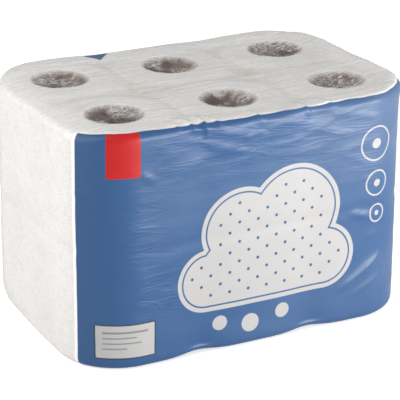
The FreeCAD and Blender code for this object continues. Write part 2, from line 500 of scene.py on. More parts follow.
# The generic motif: a cloud of circles, as (x, y, radius) in millimetres from the panel's foot.
CLOUD = (
    (-46.0, 64.0, 27.0), (-14.0, 104.0, 37.0), (34.0, 110.0, 43.0),
    (62.0, 66.0, 29.0), (8.0, 70.0, 32.0), (10.0, 84.0, 34.0), (-26.0, 72.0, 30.0), (40.0, 78.0, 34.0),
)
CLOUD_BASE = (8.0, 54.0, 56.0, 17.0)
DROPS = ((-34.0, 25.0, 6.5), (-6.0, 20.0, 8.0), (24.0, 25.0, 6.5))
RINGS = ((111.0, 158.0, 15.0), (113.0, 122.0, 11.0), (114.0, 94.5, 7.5))
TAG = (-119.3, 184.0, 13.9, 19.5)
LABEL = (-118.6, 25.0, 25.8, 15.2)
LABEL_BARS = (
    (-118.6, 33.0, 19.0, 0.9), (-123.6, 28.2, 14.0, 0.6),
    (-121.6, 23.6, 16.0, 0.6), (-127.6, 19.0, 10.0, 0.6),
)

# Dots of the cloud, its inner line, the rings and the label, in millimetres.
DOTS_PER_MM = 0.083
DOT_RADIUS = 1.35
DOT_MARGIN = 11.1
INLINE_DEPTH = 4.5
INLINE_HALF_WIDTH = 0.7
RING_HALF_WIDTH = 0.75
RING_HEART = 0.3
LABEL_ROUNDING = 1.6
LABEL_BORDER = 1.2
BAR_STRENGTH = 0.55


def print_layers(graph, place, settings):
    """Colour of the print over the panel, laid from the ground up."""
    panel = Panel(graph, place)
    white, blue, ink = rgba(settings.white), rgba(settings.blue), rgba(settings.ink)
    cloud = panel.join(*(panel.circle(*spot) for spot in CLOUD), panel.box(*CLOUD_BASE))
    turned = graph.node("ShaderNodeVectorRotate", rotation_type="Z_AXIS")
    graph.feed(turned.inputs["Vector"], graph.stretched(place, (DOTS_PER_MM, DOTS_PER_MM, 0.0)))
    turned.inputs["Angle"].default_value = math.radians(45)
    grid = graph.grid(graph.vector("ADD", turned.outputs[0], (0.5, 0.5, 0.0)))
    dot = graph.math("SUBTRACT", graph.math("DIVIDE", grid, DOTS_PER_MM), DOT_RADIUS)
    dots = panel.both(dot, graph.math("ADD", cloud, DOT_MARGIN))
    drops = panel.join(*(panel.circle(*spot) for spot in DROPS))
    rings = panel.join(*(panel.line(panel.circle(*spot), RING_HALF_WIDTH) for spot in RINGS))
    hearts = panel.join(*(panel.circle(x, y, radius * RING_HEART) for x, y, radius in RINGS))
    label = panel.box(*LABEL, LABEL_ROUNDING)
    bars = panel.join(*(panel.box(*bar) for bar in LABEL_BARS))
    colour = blue
    for shape, paint in (
        (cloud, white),
        (dots, blue),
        (panel.line(cloud, INLINE_HALF_WIDTH, -INLINE_DEPTH), blue),
        (drops, white),
        (panel.join(rings, hearts), white),
        (panel.box(*TAG), rgba(settings.red)),
        (label, ink),
        (graph.math("ADD", label, LABEL_BORDER), white),
    ):
        colour = graph.mix(panel.inside(shape), colour, paint)
    return graph.mix(graph.times(panel.inside(bars), BAR_STRENGTH), colour, ink)


def radial_folds(graph, place):
    """Folds that run in to the middle of every core, from 0 in the ground to 1 on a ridge."""
    parts = graph.axes(place)
    half = ROLL_WIDTH / 2
    x = graph.math("WRAP", parts["X"], half, -half)
    y = graph.math("WRAP", graph.math("SUBTRACT", parts["Y"], half), half, -half)
    from_core = graph.joined(X=x, Y=y)
    direction = graph.vector("NORMALIZE", from_core)
    apart = graph.vector("LENGTH", from_core, output="Value")
    varied = graph.stretched(place, (24.0, 48.0, 0.0))
    inward = graph.vector("MULTIPLY_ADD", direction, (3.6, 3.6, 0.0), varied)
    shifted = graph.vector("ADD", inward, graph.joined(Z=graph.times(apart, 50.0)))
    rays = graph.noise(shifted, 1.0, detail=2.0, roughness=0.45, distortion=0.4)
    wide = graph.stretched(place, (62.0, 200.0, 80.0))
    across = graph.noise(wide, 1.0, detail=2.0, roughness=0.4, distortion=1.5)
    ridges = []
    for field, sharpness, share in ((rays, 15.0, 0.7), (across, 14.0, 1.0)):
        ridge = graph.math("SUBTRACT", 1.0, graph.off_middle(field, sharpness), clamp=True)
        ridges.append(graph.times(ridge, share))
    return graph.math("MAXIMUM", *ridges)


# The clear outer layer stands off the ink in places and looks pale there; the stronger paling towards the
# upper right is painted sheen, where the right-hand lamp lights the panel.
PALING_AND_SHEEN = (0.50, 0.52, 0.54, 1.0)
PATCHY_BLOOM = 0.045
UPPER_RIGHT_SHEEN = 0.075


def film_paling_and_sheen(graph, place, across, up):
    """How much the ink is paled: in soft patches, and, as painted sheen, more towards the upper right."""
    cloud = graph.noise(graph.stretched(place, (7.0, 7.0, 15.0)), 1.0, detail=2.0)
    patchy = graph.ramp(cloud, 0.38, 0.66, 0.0, PATCHY_BLOOM)
    patchy = graph.times(patchy, graph.ramp(across, -130.0 * MM, -40.0 * MM))
    # Painted sheen: the ink grows paler towards the upper right, where the right-hand lamp lights the panel
    # most.
    to_right = graph.ramp(across, -20.0 * MM, 150.0 * MM)
    sheen_mask = graph.times(to_right, graph.ramp(up, 70.0 * MM, 185.0 * MM))
    return graph.math("MULTIPLY_ADD", sheen_mask, UPPER_RIGHT_SHEEN, patchy)


# Where the ink ends: its wavy top, the nib that licks over the top at the back, the strip beside it.
TOP_WANDER = 5.0 * MM
NIB_PLACE = 50.0 * MM
NIB_REACH = 17.0 * MM
BACK_TOP_DROP = 1.5 * MM
BORDER_WIDTH = 3.0 * MM
INK_FOOT = -32.0 * MM

# Colours of the clear film: bare; paler towards the left end of the top, as painted light where the left
# lamp falls; brownish over the gaps between the rolls, as painted shade; and darker down in the hollows, as
# painted shade.
VEIL = ((0.71, 0.69, 0.668, 1.0), (0.79, 0.773, 0.752, 1.0))
PAINTED_LEFT_LIGHT = (0.86, 0.84, 0.815, 1.0)
GAP_PAINTED_SHADE = (0.62, 0.50, 0.40, 1.0)
HOLLOW_SHADE = (0.40, 0.355, 0.35, 1.0)


def print_edges(graph, place, across, along, on_back, settings):
    """Masks of the ink, of what lies inside its side borders, and of a painted highlight: a pale line under
    the ink's top, towards the right.
    """
    wander = graph.noise(graph.stretched(place, (1.0, 1.0, 0.0)), 26.0, detail=2.0)
    top = graph.math("MULTIPLY_ADD", graph.math("SUBTRACT", wander, 0.5), TOP_WANDER, settings.panel_top)
    from_nib = graph.math("ABSOLUTE", graph.math("SUBTRACT", across, NIB_PLACE))
    nib = graph.ramp(from_nib, 1.0 * MM, NIB_REACH, NIB_REACH, 0.0)
    top = graph.math("MULTIPLY_ADD", on_back, graph.math("SUBTRACT", nib, BACK_TOP_DROP), top)
    below = graph.ramp(graph.math("SUBTRACT", along, top), 0.25 * MM, -0.25 * MM)
    side = graph.math("ABSOLUTE", across)
    half = settings.panel_half
    within = graph.ramp(graph.math("SUBTRACT", side, half), 0.2 * MM, -0.2 * MM)
    border = graph.ramp(graph.math("SUBTRACT", side, half + BORDER_WIDTH), 0.2 * MM, -0.2 * MM)
    above = graph.ramp(along, INK_FOOT, INK_FOOT + 0.5 * MM)
    inked = graph.times(graph.times(below, border), above)
    # Painted highlight: a thin pale line just under the ink's top, only towards the right, where the light
    # catches the top edge.
    strip_and_highlight = graph.ramp(graph.math("SUBTRACT", top, along), 1.4 * MM, 0.9 * MM)
    strip_and_highlight = graph.times(strip_and_highlight, graph.ramp(across, 20.0 * MM, 60.0 * MM))
    return inked, within, strip_and_highlight


def film_material(settings):
    """The wrap: clear film with fine crinkles, and opaque ink on the two long panels."""
    material, graph, shader = new_material("wrap_film")
    parts = graph.axes(graph.node("ShaderNodeUVMap", uv_map="around").outputs["UV"])
    along = parts["Y"]
    place = graph.node("ShaderNodeTexCoord").outputs["Object"]
    across = graph.math("WRAP", parts["X"], PANEL / 2, -PANEL / 2)
    on_back = graph.math("GREATER_THAN", graph.math("ABSOLUTE", parts["X"]), PANEL / 2)
    inked, within, strip_and_highlight = print_edges(graph, place, across, along, on_back, settings)

    # Crinkles: long streaks over the top, finer and tighter ones everywhere.
    streaks = graph.noise(graph.stretched(place, (26.0, 330.0, 90.0)), 1.0, detail=3.0, distortion=0.35)
    crumple = graph.noise(graph.stretched(place, (150.0, 150.0, 210.0)), 1.0, detail=4.0, distortion=1.2)
    sharp = graph.ramp(graph.math("SUBTRACT", 1.0, graph.off_middle(crumple, 4.0)), 0.55, 1.0)
    streak = graph.ramp(graph.off_middle(streaks, 3.4), 0.22, 0.0)
    upright = graph.axes(graph.node("ShaderNodeNewGeometry").outputs["True Normal"])["Z"]
    level = graph.ramp(graph.math("ABSOLUTE", upright), 0.4, 0.9)
    crease = graph.math("MAXIMUM", graph.times(streak, level), graph.times(sharp, 0.45))

    # Colour of the print, laid over that of the clear film.
    flat = graph.joined(X=graph.times(across, 1 / MM), Y=graph.times(along, 1 / MM))
    printed = print_layers(graph, flat, settings)
    # The ink pales in soft patches, and towards the upper right as painted sheen.
    printed = graph.mix(film_paling_and_sheen(graph, place, across, along), printed, PALING_AND_SHEEN)
    # The bare white strips beside the panels, then a painted highlight along the ink's top edge on the
    # right, both in the same white.
    printed = graph.mix(within, rgba(settings.strip_and_highlight), printed)
    printed = graph.mix(strip_and_highlight, printed, rgba(settings.strip_and_highlight))
    veil = graph.mix(graph.ramp(graph.noise(place, 9.0, detail=2.0), 0.3, 0.7), *VEIL)
    # Painted light: the top is paler towards its left end, where the left lamp falls.
    left_light_mask = graph.times(graph.ramp(graph.axes(place)["X"], -118.0 * MM, -150.0 * MM), level)
    veil = graph.mix(left_light_mask, veil, PAINTED_LEFT_LIGHT)
    # Painted shade: a brownish tint, in patches, over the gaps between the rolls.
    patchy = graph.ramp(graph.noise(place, 60.0, detail=3.0), 0.40, 0.62, 0.0, 0.62)
    veil = graph.mix(graph.times(graph.attribute("gap"), patchy), veil, GAP_PAINTED_SHADE)
    hollow = graph.attribute("hollow")
    folds = radial_folds(graph, place)
    shaded = graph.times(graph.ramp(hollow, 0.0, 0.5), graph.ramp(folds, 0.0, 0.9, 1.0, 0.0))
    veil = graph.mix(shaded, veil, HOLLOW_SHADE)
    graph.feed(shader.inputs["Base Color"], graph.mix(inked, veil, printed))

    # Haze of the clear film: thinner in the hollows, where the cores show, and denser on folds and creases,
    # where the film is doubled and whitened; the pale lines this draws also stand in as painted highlights,
    # and the haze grows a little where the film is seen at a slant, as painted reflection.
    facing = graph.node("ShaderNodeLayerWeight")
    facing.inputs["Blend"].default_value = 0.35
    dense = graph.ramp(graph.noise(place, 42.0, detail=1.0), 0.42, 0.54, 0.26, 1.0)
    crumpled = graph.times(graph.ramp(folds, 0.0, 1.0, 0.42, 0.82), dense)
    bare = graph.math("MULTIPLY_ADD", crease, 0.22, 0.70)
    haze = graph.blend(graph.ramp(hollow, 0.0, 0.55), bare, crumpled)
    haze = graph.math("MULTIPLY_ADD", facing.outputs["Facing"], 0.10, haze, clamp=True)
    graph.feed(shader.inputs["Alpha"], graph.blend(inked, haze, 1.0))
    graph.feed(shader.inputs["Roughness"], graph.blend(inked, 0.16, 0.42))
    graph.feed(shader.inputs["Coat Weight"], graph.blend(inked, 0.5, 0.10))
    shader.inputs["Coat Roughness"].default_value = 0.12
    shader.inputs["Specular IOR Level"].default_value = 0.34

    # Relief too fine for the mesh, in millimetres.
    gathers = graph.noise(graph.stretched(place, (20.0, 20.0, 120.0)), 1.0, detail=2.0, distortion=1.0)
    gather = graph.ramp(graph.off_middle(gathers, 5.0), 0.45, 0.0)
    height = graph.times(crumple, 0.10)
    for relief, where, share in (
        (streaks, level, 0.6),
        (crease, level, 0.25),
        (folds, graph.ramp(hollow, 0.0, 0.6), 1.1),
        (gather, graph.attribute("gathered"), 0.24),
    ):
        height = graph.math("MULTIPLY_ADD", graph.times(relief, where), share, height)
    add_bump(graph, shader, height, 0.8, 1.0 * MM)
    return material


def make_object(name, vertices, faces, material, uv_name, uv):
    """A smooth mesh object from arrays, with one UV map given per face corner."""
    mesh = bpy.data.meshes.new(name)
    mesh.from_pydata(vertices.tolist(), [], faces.tolist())
    layer = mesh.uv_layers.new(name=uv_name)
    layer.data.foreach_set("uv", np.asarray(uv, dtype=np.float32).ravel())
    mesh.shade_smooth()
    mesh.materials.append(material)
    mesh.update()
    made = bpy.data.objects.new(name, mesh)
    bpy.context.scene.collection.objects.link(made)
    return made


def edge_rows(radius, steps):
    """Insets of the mesh lines over a rounded edge, from the wall to the level face."""
    angles = np.linspace(0.0, math.pi / 2, steps + 1)
    return radius * (1 - np.cos(angles))


def axis_lines(half, radius, steps, spacing):
    """Places of the mesh lines along one axis, closer together over the edges."""
    rows = edge_rows(radius, steps)[:-1]
    count = round(2 * (half - radius) / spacing)
    inner = np.linspace(radius - half, half - radius, count + 1)
    return np.concatenate((rows - half, inner, (half - rows)[::-1]))


class FilmSheet:
    """The wrap before it creases: every point's place, outward direction and film coordinates."""

    EDGE_STEPS = 6
    # How much wider the mesh lines are apart up the walls than round them.
    WALL_STRETCH = 1.45

    def __init__(self, settings):
        self.radius = settings.edge_radius
        spacing = settings.spacing
        self.x_lines = axis_lines(HALF_LENGTH, self.radius, self.EDGE_STEPS, spacing)
        self.y_lines = axis_lines(HALF_DEPTH, self.radius, self.EDGE_STEPS, spacing)
        top = self.level_face(1)
        base = self.level_face(-1)
        self.columns, self.rows = len(self.x_lines), len(self.y_lines)
        self.ring = self.ring_indices()
        count = round((HEIGHT - 2 * self.radius) / (self.WALL_STRETCH * spacing))
        heights = np.linspace(self.radius, HEIGHT - self.radius, count + 1)[1:-1]
        wall = self.walls(top, heights)
        self.points, self.normals, self.around, self.along, self.inward = (
            np.concatenate(parts) for parts in zip(top, base, wall)
        )
        self.faces = self.all_faces(len(top[0]), len(heights))

    def level_face(self, side):
        """The top (1) or the base (-1) with its rounded edge."""
        x, y = (part.ravel() for part in np.meshgrid(self.x_lines, self.y_lines, indexing="ij"))
        inward = np.minimum(HALF_LENGTH - np.abs(x), HALF_DEPTH - np.abs(y))
        core_x = np.clip(x, -STRAIGHT_LENGTH, STRAIGHT_LENGTH)
        core_y = np.clip(y, -STRAIGHT_DEPTH, STRAIGHT_DEPTH)
        off_x, off_y = x - core_x, y - core_y
        length = np.maximum(np.hypot(off_x, off_y), 1e-12)
        squeeze = np.maximum(np.abs(off_x), np.abs(off_y)) / length
        off_x, off_y = off_x * squeeze, off_y * squeeze
        length = np.maximum(np.hypot(off_x, off_y), 1e-12)
        cosine = np.clip(1 - inward / self.radius, 0.0, 1.0)
        angle = np.arccos(cosine)
        drop = self.radius * (1 - np.sin(angle))
        z = HEIGHT - drop if side > 0 else drop
        points = np.stack((core_x + off_x, core_y + off_y, z), axis=1)
        outward = np.stack((off_x / length, off_y / length, np.zeros_like(x)), axis=1)
        normals = outward * cosine[:, None] + side * UP * np.sin(angle)[:, None]
        turn = np.arctan2(np.abs(off_x), -off_y)
        front = np.where(turn <= math.pi / 2 + 1e-6, np.abs(core_x), 2 * STRAIGHT_LENGTH - np.abs(core_x))
        around = (CORNER * turn + front + core_y + STRAIGHT_DEPTH) * np.where(x < 0, -1.0, 1.0)
        over = self.radius * angle + np.maximum(inward - self.radius, 0.0)
        along = HEIGHT - self.radius + over if side > 0 else self.radius - over
        return points, normals, around, along, inward

    def ring_indices(self):
        """Indices of the outline's points in the top face, once round from the front left."""
        last_column, last_row = self.columns - 1, self.rows - 1
        cells = [(i, 0) for i in range(last_column)]
        cells += [(last_column, j) for j in range(last_row)]
        cells += [(i, last_row) for i in range(last_column, 0, -1)]
        cells += [(0, j) for j in range(last_row, 0, -1)]
        return np.array([i * self.rows + j for i, j in cells])

    def walls(self, top, heights):
        """The rows of the upright walls between the two rounded edges."""
        points, normals, around, _, inward = (part[self.ring] for part in top)
        count = len(heights)
        rows = np.tile(points, (count, 1))
        rows[:, 2] = np.repeat(heights, len(self.ring))
        return (
            rows,
            np.tile(normals, (count, 1)),
            np.tile(around, count),
            rows[:, 2].copy(),
            np.tile(inward, count),
        )

    def all_faces(self, level_count, wall_rows):
        """Quads of the top, the base and the walls."""
        i, j = (part.ravel() for part in np.meshgrid(
            np.arange(self.columns - 1), np.arange(self.rows - 1), indexing="ij"))
        corner = i * self.rows + j
        top = np.stack((corner, corner + self.rows, corner + self.rows + 1, corner + 1), axis=1)
        base = top[:, ::-1] + level_count
        size = len(self.ring)
        rows = [self.ring + level_count]
        rows += [2 * level_count + row * size + np.arange(size) for row in range(wall_rows)]
        rows.append(self.ring)
        walls = [
            np.stack((low, np.roll(low, -1), np.roll(high, -1), high), axis=1)
            for low, high in zip(rows, rows[1:])
        ]
        return np.concatenate((top, base, *walls))

    def face_coordinates(self):
        """Film coordinates per face corner, without a jump where the count round the pack starts anew."""
        around = self.around[self.faces]
        middle_x = self.points[self.faces][:, :, 0].mean(axis=1)
        side = np.where(middle_x < 0, -1.0, 1.0)[:, None]
        far = np.abs(around) > PERIMETER / 4
        around = np.where(far & (np.sign(around) != side), around + side * PERIMETER, around)
        return np.stack((around, self.along[self.faces]), axis=2).reshape(-1, 2)


def ripple(points, scales, seed):
    """Smooth noise at each point, about -1 to 1, with its own stretch along each axis."""
    scaled = points * np.asarray(scales) + seed
    return np.fromiter((noise.noise(Vector(row)) for row in scaled.tolist()), float, len(scaled))


def ridged(points, scales, seed):
    """Thin sharp ridges with flat ground between them, 0 to 1."""
    return np.clip(1 - 5 * np.abs(ripple(points, scales, seed)), 0.0, 1.0) ** 2


def bump_at(distance, width):
    """A smooth bell, 1 at no distance."""
    return np.exp(-((distance / width) ** 2))


# Single creases of the front: start and end as (across, up), then height and width, in mm.
FRONT_FOLDS = (
    ((-106, 166), (-90, 158), 0.9, 2.2),
    ((-156, 172), (-132, 170), 0.6, 2.0),
    ((-157, 186), (-140, 189), 0.5, 2.0),
    ((-156, 158), (-124, 152), 0.6, 2.2),
    ((-155, 145), (-138, 143), 0.4, 2.0),
    ((-66, 222), (-55, 192), 1.7, 1.7),
    ((-54, 226), (-45, 188), 2.2, 1.8),
    ((-46, 220), (-32, 194), 1.5, 1.6),
    ((-76, 214), (-70, 196), 0.9, 1.5),
    ((40, 216), (48, 190), 1.3, 1.7),
    ((56, 216), (72, 195), 1.0, 1.7),
    ((-6, 213), (4, 193), 1.0, 1.6),
    ((-60, 197), (-8, 189), 0.9, 2.6),
    ((-58, 192), (36, 180), 0.7, 2.6),
    ((-52, 184), (-10, 172), 0.6, 2.4),
    ((4, 193), (70, 184), 0.7, 2.4),
    ((30, 188), (96, 166), 0.6, 2.6),
    ((60, 194), (128, 178), 0.8, 2.4),
    ((84, 100), (112, 92), 1.3, 1.8),
    ((76, 30), (124, 60), 2.2, 2.2),
    ((84, 22), (130, 42), 1.1, 2.0),
    ((96, 74), (140, 82), 0.5, 2.2),
    ((-150, 62), (-120, 70), 0.4, 2.4),
    ((-152, 96), (-112, 104), 0.4, 2.6),
)

# Creases of the two ends in the same way, across from the middle of an end.
END_FOLDS = (
    ((-52, 200), (-16, 132), 0.60, 2.6),
    ((42, 192), (20, 144), 0.45, 2.6),
    ((-40, 6), (-18, 58), 0.35, 2.6),
    ((50, 20), (6, 54), 0.40, 3.0),
    ((-44, 182), (-58, 150), 0.8, 2.0),
    ((-30, 198), (-52, 168), 0.8, 2.0),
    ((8, 200), (28, 168), 0.35, 2.2),
)

# Where the film of a long panel is gathered into fine wrinkles: (across, up, reach), in mm.
GATHERED = (
    (-146.0, 158.0, 22.0), (-118.0, 128.0, 26.0), (-122.0, 96.0, 30.0), (-92.0, 60.0, 22.0),
    (-62.0, 186.0, 30.0), (-10.0, 190.0, 34.0), (48.0, 184.0, 34.0), (92.0, 172.0, 26.0),
    (118.0, 140.0, 24.0),
)


def gathering(across, up):
    """How much the film is gathered at each point, 0 to 1."""
    spots = [bump_at(np.hypot(across - x * MM, up - y * MM), reach * MM) for x, y, reach in GATHERED]
    return np.clip(sum(spots), 0.0, 1.0)


def fold_relief(across, up, folds):
    """Height of thin ridges along straight creases that fade out at both ends."""
    relief = np.zeros_like(across)
    for start, end, height, width in folds:
        x0, y0, x1, y1 = (part * MM for part in (*start, *end))
        run_x, run_y = x1 - x0, y1 - y0
        length = math.hypot(run_x, run_y)
        share = ((across - x0) * run_x + (up - y0) * run_y) / length**2
        off = np.abs((across - x0) * run_y - (up - y0) * run_x) / length
        fade = np.clip(1 - (2 * share - 1) ** 2, 0.0, 1.0)
        relief += 1.6 * height * MM * fade * np.exp(-off / (width * MM))
    return relief


# Seed and number of the creases that run along the top.
LONG_SEED = 41
LONG_COUNT = 54


def long_creases():
    """Creases that run along the top, scattered over it by chance: from, to, height and width, in mm."""
    rng = np.random.default_rng(LONG_SEED)
    creases = []
    for _ in range(LONG_COUNT):
        x, y = rng.uniform(-140, 140), rng.uniform(-92, 92)
        length, lean = rng.uniform(24, 90), rng.normal(0.0, 0.09)
        end = (x + length, y + length * lean)
        creases.append(((x, y), end, rng.uniform(0.12, 0.42), rng.uniform(1.4, 2.4)))
    return creases


# Depths and heights of the film's softer forms.
LAYER_GROOVE = 0.45 * MM
SLOW_SWELL = 0.55 * MM
QUICK_SWELL = 0.3 * MM
FINE_SWELL = 0.05 * MM
GATHER_HEIGHT = 0.75 * MM
RIGHT_STAND_OFF = 2.4 * MM
BACK_STAND_OFF = 2.2 * MM
GAP_DIP = 2.0 * MM
CRUMPLE_HEIGHT = 1.5 * MM
FOOT_LIFT = 2.0 * MM


def film_shape(sheet, settings):
    """Draws the film in between the rolls, into the cores and into its creases."""
    points, normals = sheet.points, sheet.normals
    across = (sheet.around + PANEL / 2) % PANEL - PANEL / 2
    up = sheet.along
    front = (np.abs(sheet.around) < PANEL / 2).astype(float)
    level = np.clip(np.abs(normals[:, 2]), 0.0, 1.0)
    on_top = (normals[:, 2] > 0) * level

    # Tucks between the rolls, deepest at the top and bottom edges.
    foot, head = bump_at(up, 24 * MM), bump_at(up - HEIGHT, 20 * MM)
    depth = settings.tuck_depth + settings.end_tuck_depth * (foot + 0.7 * head)
    beyond = np.maximum(np.maximum(-up, up - HEIGHT), 0.0)
    fade = np.exp(-((beyond / (14 * MM)) ** 2))
    long_joint = bump_at(np.abs(across) - ROLL_WIDTH / 2, 17 * MM)
    end_joint = 0.65 * bump_at(np.abs(across) - PANEL / 2, 17 * MM) * (1 - foot)
    offset = -(long_joint + end_joint) * depth * fade * (1 - 0.75 * level)
    offset -= LAYER_GROOVE * bump_at(up - HEIGHT / 2, 5 * MM) * (1 - level)

    # Slow and quick undulation of the walls.
    offset += SLOW_SWELL * ripple(points, (14, 14, 11), 3.1) * (1 - level)
    gathered = gathering(across, up) * (1 - level)
    offset += QUICK_SWELL * ripple(points, (38, 38, 75), 8.7) * (1 - level)
    offset += GATHER_HEIGHT * gathered * ridged(points, (13, 13, 64), 33.2)
    offset += FINE_SWELL * ripple(points, (60, 60, 260), 21.4) * (1 - level)
    offset += fold_relief(across, up, FRONT_FOLDS) * front
    from_end = np.abs(sheet.around) - PANEL / 2
    offset += fold_relief(from_end, up, END_FOLDS)

    # The film stands off the bevelled rolls along the back edge and the right end's edge.
    over_edge = bump_at(up - (HEIGHT + 4 * MM), 15 * MM)
    at_right = smooth((points[:, 0] - HALF_LENGTH + 40 * MM) / (30 * MM))
    at_back = smooth((points[:, 1] - HALF_DEPTH + 40 * MM) / (30 * MM))
    offset += np.maximum(RIGHT_STAND_OFF * at_right, BACK_STAND_OFF * at_back) * over_edge

    # The top: streaks along the pack, a dip over each gap and a crumpled hollow over each core.
    offset += settings.streak_height * on_top * ripple(points, (14, 240, 1), 5.5)
    offset += on_top * fold_relief(points[:, 0], points[:, 1], long_creases())
    apart = points[:, None, :2] - ROLL_CENTRES[None]
    reach = np.hypot(apart[..., 0], apart[..., 1])
    nearest = reach.min(axis=1)
    gap = smooth((nearest - 0.40 * ROLL_WIDTH) / (0.2 * ROLL_WIDTH))
    gap *= on_top * smooth((sheet.inward - 14 * MM) / (16 * MM))
    offset -= GAP_DIP * gap
    gap *= smooth((nearest - 0.50 * ROLL_WIDTH) / (0.16 * ROLL_WIDTH))
    hollows = np.zeros_like(offset)
    for number in range(len(ROLL_CENTRES)):
        angle = np.arctan2(apart[:, number, 1], apart[:, number, 0])
        share = reach[:, number] / (CORE_RADIUS - 0.5 * MM)
        hollow = np.clip(1 - share**2, 0.0, 1.0) ** 0.75
        hollows = np.maximum(hollows, hollow)
        polar = np.stack((np.cos(angle) * 1.6, np.sin(angle) * 1.6, share * 0.8), axis=1)
        near = np.where(hollow > 0)[0]
        depth = np.zeros_like(offset)
        depth[near] = 1 + 0.45 * ripple(polar[near], (1, 1, 1), 3.7 * number)
        depth[near] += 0.22 * ripple(polar[near], (3.1, 3.1, 1), 9.2 + number)
        crumple = np.zeros_like(offset)
        crumple[near] = ripple(points[near], (170, 260, 1), 1.3 * number)
        crumple[near] += 0.6 * ripple(points[near], (420, 380, 1), 2.9 * number)
        size = settings.dimple_depth * (0.8 + 0.12 * ((number * 7) % 5))
        offset -= size * hollow * depth * level
        offset += CRUMPLE_HEIGHT * np.minimum(hollow * 2, 1) * crumple * level

    moved = settled(points + normals * offset[:, None])

    # The foot lifts between the rolls.
    moved[:, 2] += FOOT_LIFT * long_joint * bump_at(up, 9 * MM)
    moved[:, 2] = np.maximum(moved[:, 2], 0.0)
    return moved, {"hollow": hollows, "gap": gap, "gathered": gathered}


TUBE_SIDES = 96


def tube_object(name, node, rings, material):
    """A closed tube round a node's middle, from rings of (radius at each turn, height, UV coordinate)."""
    centre = centre_of(node)
    turns = np.linspace(0.0, 2 * math.pi, TUBE_SIDES, endpoint=False)
    points = []
    for radius, height, _ in rings:
        radii = radius(turns)
        heights = np.full(TUBE_SIDES, height)
        points.append(np.stack((
            centre[0] + radii * np.cos(turns), centre[1] + radii * np.sin(turns), heights), axis=1))
    faces, uv = [], []
    for number, (_, _, here) in enumerate(rings):
        following = (number + 1) % len(rings)
        there = rings[following][2]
        for side in range(TUBE_SIDES):
            after = (side + 1) % TUBE_SIDES
            low, high = number * TUBE_SIDES, following * TUBE_SIDES
            faces.append((low + side, low + after, high + after, high + side))
            start, end = side / TUBE_SIDES, (side + 1) / TUBE_SIDES
            uv += [(start, here), (end, here), (end, there), (start, there)]
    return make_object(name, settled(np.concatenate(points)), np.array(faces), material, "wound", uv)


# Form of a roll: mesh rings over an end, up the side and down the core's hole, and its rounded end.
END_RINGS = 26
SIDE_RINGS = 10
HOLE_RINGS = 6
ROLL_BEVEL = 9.0 * MM
TURN_UNEVENNESS = 0.22 * MM
ROLL_FLAT = 0.45 * MM


def roll_object(node, material, seed):
    """One roll: soft ends with the edges of its turns, bevelled outward, squeezed flat by its neighbours."""
    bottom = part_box(node)[0][2]
    top = bottom + ROLL_HEIGHT
    outer = ROLL_WIDTH / 2
    upper = "upper" in node
    rng = np.random.default_rng(seed)
    radii = np.linspace(CORE_RADIUS, outer - 0.3 * MM, END_RINGS)
    wander = rng.normal(0.0, TURN_UNEVENNESS, END_RINGS)

    def squeezed(radius):
        """A round with four shallow flats towards the neighbours."""
        def shape(turn):
            flat = np.cos(4 * turn) * 0.5 + 0.5
            return radius - ROLL_FLAT * flat * (radius / outer) ** 6
        return shape

    def rounding(radius):
        """How far a rounded end falls back at that radius."""
        over = max(0.0, radius - (outer - ROLL_BEVEL))
        return ROLL_BEVEL - math.sqrt(ROLL_BEVEL**2 - over**2)

    rings = []
    for number, radius in enumerate(radii):
        drop = rounding(radius) if upper else 0.0
        rings.append((squeezed(radius), top - drop - abs(wander[number]) - 0.25 * MM, radius))
    for number in range(1, SIDE_RINGS):
        share = number / SIDE_RINGS
        height = top + (bottom - top) * number / SIDE_RINGS
        height -= ROLL_BEVEL * (1 - share) ** 3 if upper else 0.0
        height += ROLL_BEVEL * share**3 if not upper else 0.0
        rings.append((squeezed(outer - 0.15 * MM), height, 1.0 + (top - height)))
    for number, radius in enumerate(radii[::-1]):
        rise = 0.0 if upper else rounding(radius)
        rings.append((squeezed(radius), bottom + rise + abs(wander[-number]) * 0.5, radius))
    for number in range(1, HOLE_RINGS):
        height = bottom + (top - bottom) * number / HOLE_RINGS
        rings.append((lambda turn: np.full_like(turn, CORE_RADIUS), height, 1.0 + height))
    return tube_object(node.replace("tissue_roll", "paper_roll"), node, rings[::-1], material)


# A core: how far short of its roll it ends, and its mesh steps.
CORE_FOOT = 0.4 * MM
CORE_SHORT = 1.2 * MM
CORE_STEPS = 8


def core_object(node, material, wall, seed):
    """One cardboard core, a little out of round, just short of the paper's ends."""
    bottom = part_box(node)[0][2] + CORE_FOOT
    top = bottom + ROLL_HEIGHT - CORE_SHORT
    rng = np.random.default_rng(seed)
    phase, lean = rng.uniform(0, 2 * math.pi), rng.uniform(0.2, 0.7) * MM
    outer = CORE_RADIUS - 0.05 * MM

    def oval(radius, share):
        return lambda turn: radius - lean * share * (0.5 + 0.5 * np.cos(2 * turn + phase))

    heights = [bottom + (top - bottom) * number / CORE_STEPS for number in range(CORE_STEPS + 1)]
    rings = [(oval(outer, 0.6), height, height) for height in heights]
    rings += [(oval(outer - wall, 1.0), height, height) for height in reversed(heights)]
    return tube_object(node.replace("core_tube", "card_core"), node, rings, material)


# Seeds of the first roll and the first core.
ROLL_SEED = 100
CORE_SEED = 200


class ROLLPACK_OT_rolls(bpy.types.Operator):
    """Add the paper rolls of both layers"""

    bl_idname = "roll_pack.add_rolls"
    bl_label = "Add Paper Rolls"

    def execute(self, context):
        material = tissue_material(context.scene.roll_pack_paper)
        for number, node in enumerate(ROLL_NODES):
            roll = roll_object(node, material, ROLL_SEED + number)
            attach(roll, "root")
            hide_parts(node)
        return {"FINISHED"}


